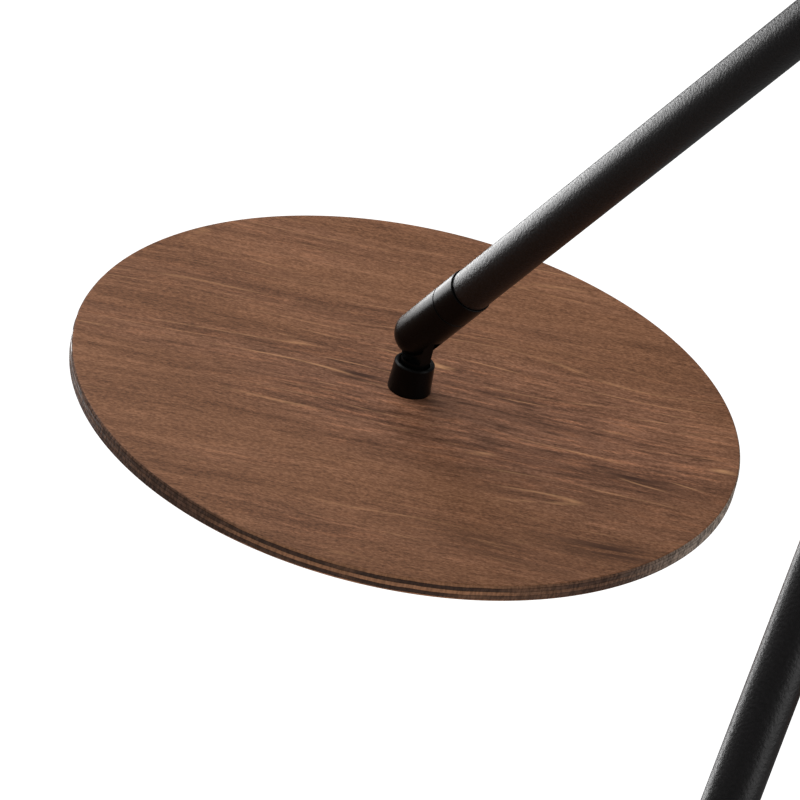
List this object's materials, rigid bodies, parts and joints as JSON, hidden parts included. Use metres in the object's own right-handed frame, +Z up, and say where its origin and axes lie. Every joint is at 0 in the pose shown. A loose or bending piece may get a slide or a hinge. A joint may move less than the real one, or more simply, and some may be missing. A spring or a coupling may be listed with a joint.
{
  "type": "ceiling light",
  "caption": "Ceiling light with leaning tube arms under a round canopy, each ending in a swivelling, tilting knuckle that holds a round plywood shade over a flat lamp.",
  "frame": {"origin": "on the ceiling, midway between the bracket's two fixing slots, on the canopy's axis", "axes": "+Z up into the ceiling; +X along the first arm's lean; the bracket and its slots run along Y"},
  "size_m": [0.7063, 0.7692, 0.4508],
  "materials": {
    "powder_black": "fine-textured matte black powder coat on steel",
    "satin_black": "satin black paint on turned steel",
    "walnut_ply": "walnut-stained plywood, satin lacquer",
    "zinc_steel": "zinc-plated steel",
    "brass": "plain turned brass",
    "ivory_plastic": "moulded off-white plastic",
    "black_plastic": "moulded black plastic",
    "opal_plastic": "opal diffuser, unlit",
    "grey_fibre": "hard fibre friction washer",
    "grey_sheath": "smooth cable sheath"
  },
  "bodies": {
    "canopy": {"canopy_shell": "powder_black", "ceiling_bracket": "zinc_steel", "canopy_screws": "powder_black", "earth_screw": "brass", "junction_block": "ivory_plastic", "block_screw": "zinc_steel", "terminal_screws": "brass", "socket_screws": "zinc_steel", "socket_grubs": "powder_black", "arm_leads": "grey_sheath", "arm_socket_1": "powder_black", "arm_tube_1": "powder_black", "swivel_adapter_1": "satin_black", "arm_socket_2": "powder_black", "arm_tube_2": "powder_black", "swivel_adapter_2": "satin_black", "arm_socket_3": "powder_black", "arm_tube_3": "powder_black", "swivel_adapter_3": "satin_black"},
    "knuckle_1": {"knuckle_body_1": "satin_black", "stop_screw_1": "satin_black", "pivot_pin_1": "satin_black", "friction_washers_1": "grey_fibre"},
    "shade_1": {"stem_1": "satin_black", "cup_1": "satin_black", "disc_1": "walnut_ply", "under_nut_1": "zinc_steel", "lampholder_1": "black_plastic", "holder_screws_1": "zinc_steel"},
    "lamp_1": {"lamp_body_1": "ivory_plastic", "lamp_lens_1": "opal_plastic", "lamp_pins_1": "brass"},
    "knuckle_2": {"knuckle_body_2": "satin_black", "stop_screw_2": "satin_black", "pivot_pin_2": "satin_black", "friction_washers_2": "grey_fibre"},
    "shade_2": {"stem_2": "satin_black", "cup_2": "satin_black", "disc_2": "walnut_ply", "under_nut_2": "zinc_steel", "lampholder_2": "black_plastic", "holder_screws_2": "zinc_steel"},
    "lamp_2": {"lamp_body_2": "ivory_plastic", "lamp_lens_2": "opal_plastic", "lamp_pins_2": "brass"},
    "knuckle_3": {"knuckle_body_3": "satin_black", "stop_screw_3": "satin_black", "pivot_pin_3": "satin_black", "friction_washers_3": "grey_fibre"},
    "shade_3": {"stem_3": "satin_black", "cup_3": "satin_black", "disc_3": "walnut_ply", "under_nut_3": "zinc_steel", "lampholder_3": "black_plastic", "holder_screws_3": "zinc_steel"},
    "lamp_3": {"lamp_body_3": "ivory_plastic", "lamp_lens_3": "opal_plastic", "lamp_pins_3": "brass"}
  },
  "joints": [
    {"name": "swivel_1", "type": "hinge", "parent": "canopy", "child": "knuckle_1", "pos_m": [0.2709, 0, -0.37404], "axis": [-0.5736, 0, 0.8192], "range_deg": [-150, 150]},
    {"name": "tilt_1", "type": "hinge", "parent": "knuckle_1", "child": "shade_1", "pos_m": [0.2709, 0, -0.37404], "axis": [0, 1, 0], "range_deg": [-125, 55]},
    {"name": "lamp_turn_1", "type": "hinge", "parent": "shade_1", "child": "lamp_1", "pos_m": [0.2709, 0, -0.37404], "axis": [0, 0, 1], "range_deg": [-25, 0]},
    {"name": "swivel_2", "type": "hinge", "parent": "canopy", "child": "knuckle_2", "pos_m": [-0.13545, 0.23461, -0.37404], "axis": [0.2868, -0.4967, 0.8192], "range_deg": [-150, 150]},
    {"name": "tilt_2", "type": "hinge", "parent": "knuckle_2", "child": "shade_2", "pos_m": [-0.13545, 0.23461, -0.37404], "axis": [-0.866, -0.5, 0], "range_deg": [-125, 55]},
    {"name": "lamp_turn_2", "type": "hinge", "parent": "shade_2", "child": "lamp_2", "pos_m": [-0.13545, 0.23461, -0.37404], "axis": [0, 0, 1], "range_deg": [-25, 0]},
    {"name": "swivel_3", "type": "hinge", "parent": "canopy", "child": "knuckle_3", "pos_m": [-0.13545, -0.23461, -0.37404], "axis": [0.2868, 0.4967, 0.8192], "range_deg": [-150, 150]},
    {"name": "tilt_3", "type": "hinge", "parent": "knuckle_3", "child": "shade_3", "pos_m": [-0.13545, -0.23461, -0.37404], "axis": [0.866, -0.5, 0], "range_deg": [-125, 55]},
    {"name": "lamp_turn_3", "type": "hinge", "parent": "shade_3", "child": "lamp_3", "pos_m": [-0.13545, -0.23461, -0.37404], "axis": [0, 0, 1], "range_deg": [-25, 0]}
  ]
}
